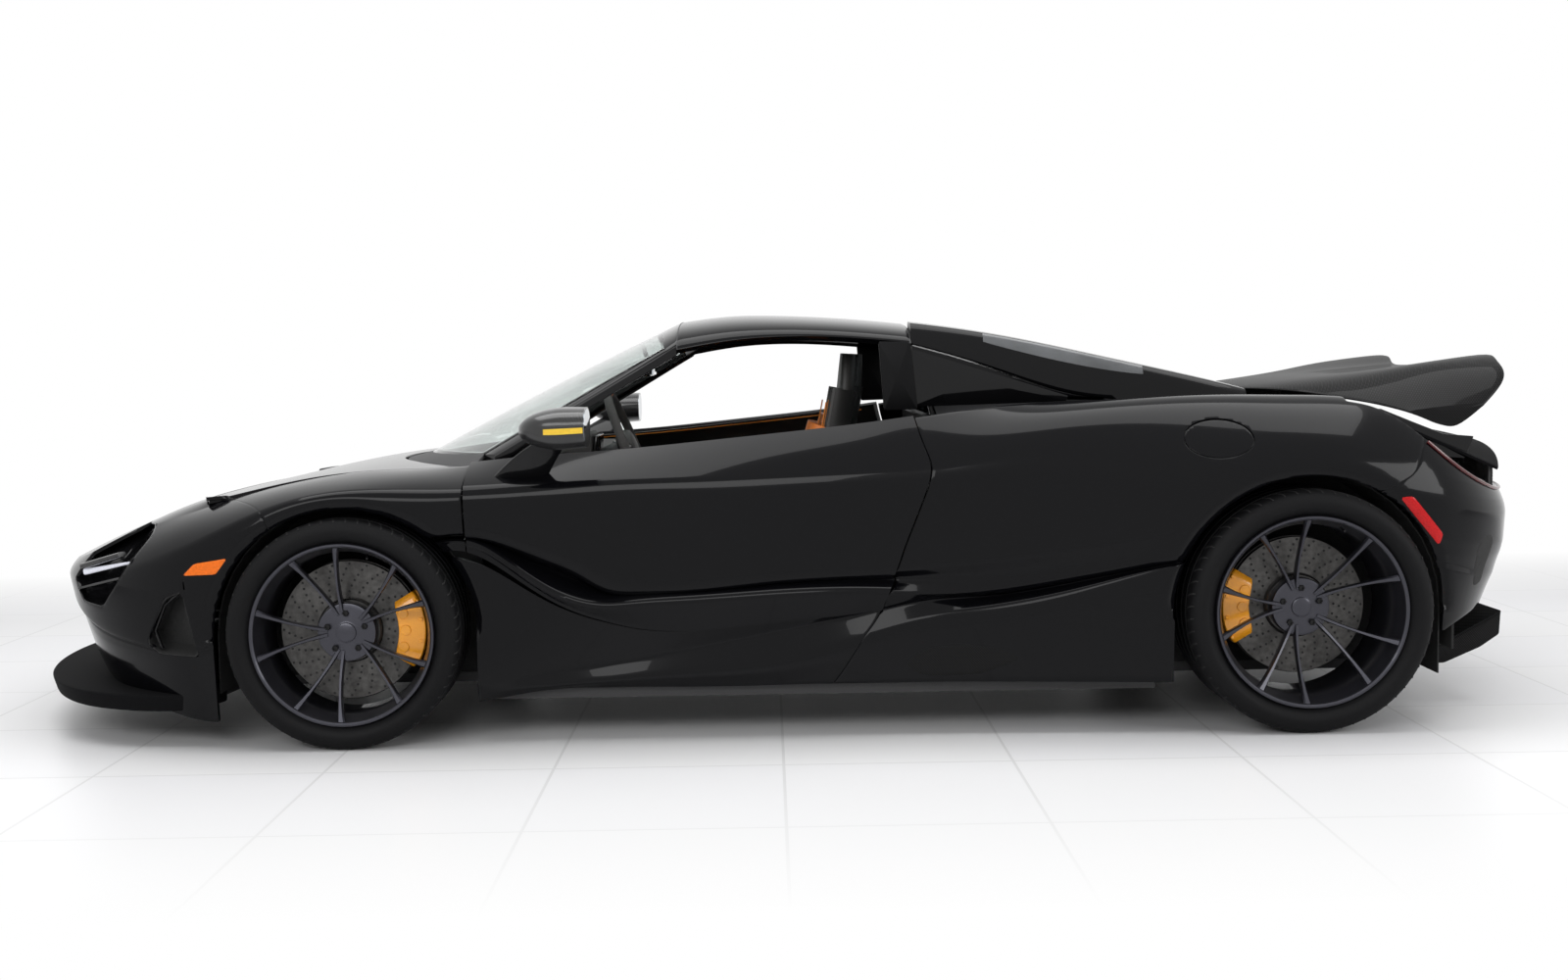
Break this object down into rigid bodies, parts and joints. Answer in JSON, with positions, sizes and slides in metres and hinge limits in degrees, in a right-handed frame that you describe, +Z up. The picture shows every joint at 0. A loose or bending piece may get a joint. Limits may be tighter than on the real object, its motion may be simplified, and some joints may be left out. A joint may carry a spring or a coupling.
{
  "type": "mid-engined two-seat supercar",
  "caption": "Low mid-engined two-seat supercar with a folded-down-window hardtop, up-swinging doors, front luggage lid, steered front wheels and a raised rear wing.",
  "frame": {"origin": "on the floor under the middle of the car's box", "axes": "+X forward along the car, +Y to its left, +Z up"},
  "size_m": [4.5685, 2.1606, 1.1956],
  "materials": {
    "black_trim": "matte",
    "body_paint": "gloss",
    "brake_iron": "machined",
    "cabin_leather": "grained",
    "caliper_paint": "gloss",
    "carbon": "gloss",
    "cast_aluminium": "cast",
    "gloss_trim": "gloss",
    "lamp_glass": "clear",
    "roof_paint": "gloss",
    "screen_glass": "clear",
    "tyre_rubber": "matte",
    "wheel_paint": "satin"
  },
  "bodies": {
    "chassis": {"arch_liners": "black_trim", "buttresses": "body_paint", "calipers_rear": "caliper_paint", "console": "black_trim", "dashboard": "cabin_leather", "diffuser": "black_trim", "engine": "cast_aluminium", "fenders": "body_paint", "front_bumper": "body_paint", "fuel_bowl": "black_trim", "headlamps": "lamp_glass", "knuckles_rear": "cast_aluminium", "luggage_tub": "black_trim", "quarter_glass": "gloss_trim", "quarters": "body_paint", "rear_bumper": "body_paint", "rear_deck": "body_paint", "rear_mesh": "black_trim", "rear_window": "screen_glass", "roof_panel": "roof_paint", "screen_frame": "body_paint", "scuttle": "black_trim", "seats": "cabin_leather", "sills": "body_paint", "splitter": "gloss_trim", "steering_wheel": "cabin_leather", "tail_panel": "body_paint", "tub": "black_trim", "underfloor": "black_trim", "windscreen": "screen_glass", "wing_struts": "black_trim", "wishbones": "cast_aluminium"},
    "door_left": {"door_left": "body_paint", "mirror_left": "carbon"},
    "door_right": {"door_right": "body_paint", "mirror_right": "carbon"},
    "luggage_lid": {"luggage_lid": "body_paint"},
    "fuel_flap": {"fuel_flap": "body_paint"},
    "wing": {"wing": "gloss_trim"},
    "knuckle_left": {"knuckle_front_left": "cast_aluminium", "caliper_front_left": "caliper_paint"},
    "knuckle_right": {"knuckle_front_right": "cast_aluminium", "caliper_front_right": "caliper_paint"},
    "wheel_front_left": {"tyre_front_left": "tyre_rubber", "rim_front_left": "wheel_paint", "disc_front_left": "brake_iron"},
    "wheel_front_right": {"tyre_front_right": "tyre_rubber", "rim_front_right": "wheel_paint", "disc_front_right": "brake_iron"},
    "wheel_rear_left": {"tyre_rear_left": "tyre_rubber", "rim_rear_left": "wheel_paint", "disc_rear_left": "brake_iron"},
    "wheel_rear_right": {"tyre_rear_right": "tyre_rubber", "rim_rear_right": "wheel_paint", "disc_rear_right": "brake_iron"}
  },
  "joints": [
    {"name": "roll_front_left", "type": "hinge", "parent": "knuckle_left", "child": "wheel_front_left", "pos_m": [1.2045, 0.84, 0.32], "axis": [0, 1, 0], "continuous": true},
    {"name": "roll_front_right", "type": "hinge", "parent": "knuckle_right", "child": "wheel_front_right", "pos_m": [1.2045, -0.84, 0.32], "axis": [0, 1, 0], "continuous": true},
    {"name": "roll_rear_left", "type": "hinge", "parent": "chassis", "child": "wheel_rear_left", "pos_m": [-1.4655, 0.8145, 0.339], "axis": [0, 1, 0], "continuous": true},
    {"name": "roll_rear_right", "type": "hinge", "parent": "chassis", "child": "wheel_rear_right", "pos_m": [-1.4655, -0.8145, 0.339], "axis": [0, 1, 0], "continuous": true},
    {"name": "steer_left", "type": "hinge", "parent": "chassis", "child": "knuckle_left", "pos_m": [1.2045, 0.8, 0.32], "axis": [0, 0, 1], "range_deg": [-24, 24]},
    {"name": "steer_right", "type": "hinge", "parent": "chassis", "child": "knuckle_right", "pos_m": [1.2045, -0.8, 0.32], "axis": [0, 0, 1], "range_deg": [-24, 24]},
    {"name": "open_door_left", "type": "hinge", "parent": "chassis", "child": "door_left", "pos_m": [0.982, 0.904, 0.66], "axis": [-0.1002, 0.4208, -0.9016], "range_deg": [0, 65]},
    {"name": "open_door_right", "type": "hinge", "parent": "chassis", "child": "door_right", "pos_m": [0.982, -0.904, 0.66], "axis": [0.1002, 0.4208, 0.9016], "range_deg": [0, 65]},
    {"name": "open_lid", "type": "hinge", "parent": "chassis", "child": "luggage_lid", "pos_m": [0.886, 0, 0.776], "axis": [0, -1, 0], "range_deg": [0, 60]},
    {"name": "open_flap", "type": "hinge", "parent": "chassis", "child": "fuel_flap", "pos_m": [-1.123, 0.909, 0.82], "axis": [0, 0, -1], "range_deg": [0, 80]},
    {"name": "tilt_wing", "type": "hinge", "parent": "chassis", "child": "wing", "pos_m": [-1.56, 0, 0.948], "axis": [0, 1, 0], "range_deg": [0, 20]}
  ],
  "couplings": [
    {"joint": "steer_right", "follows": "steer_left", "ratio": 1}
  ]
}
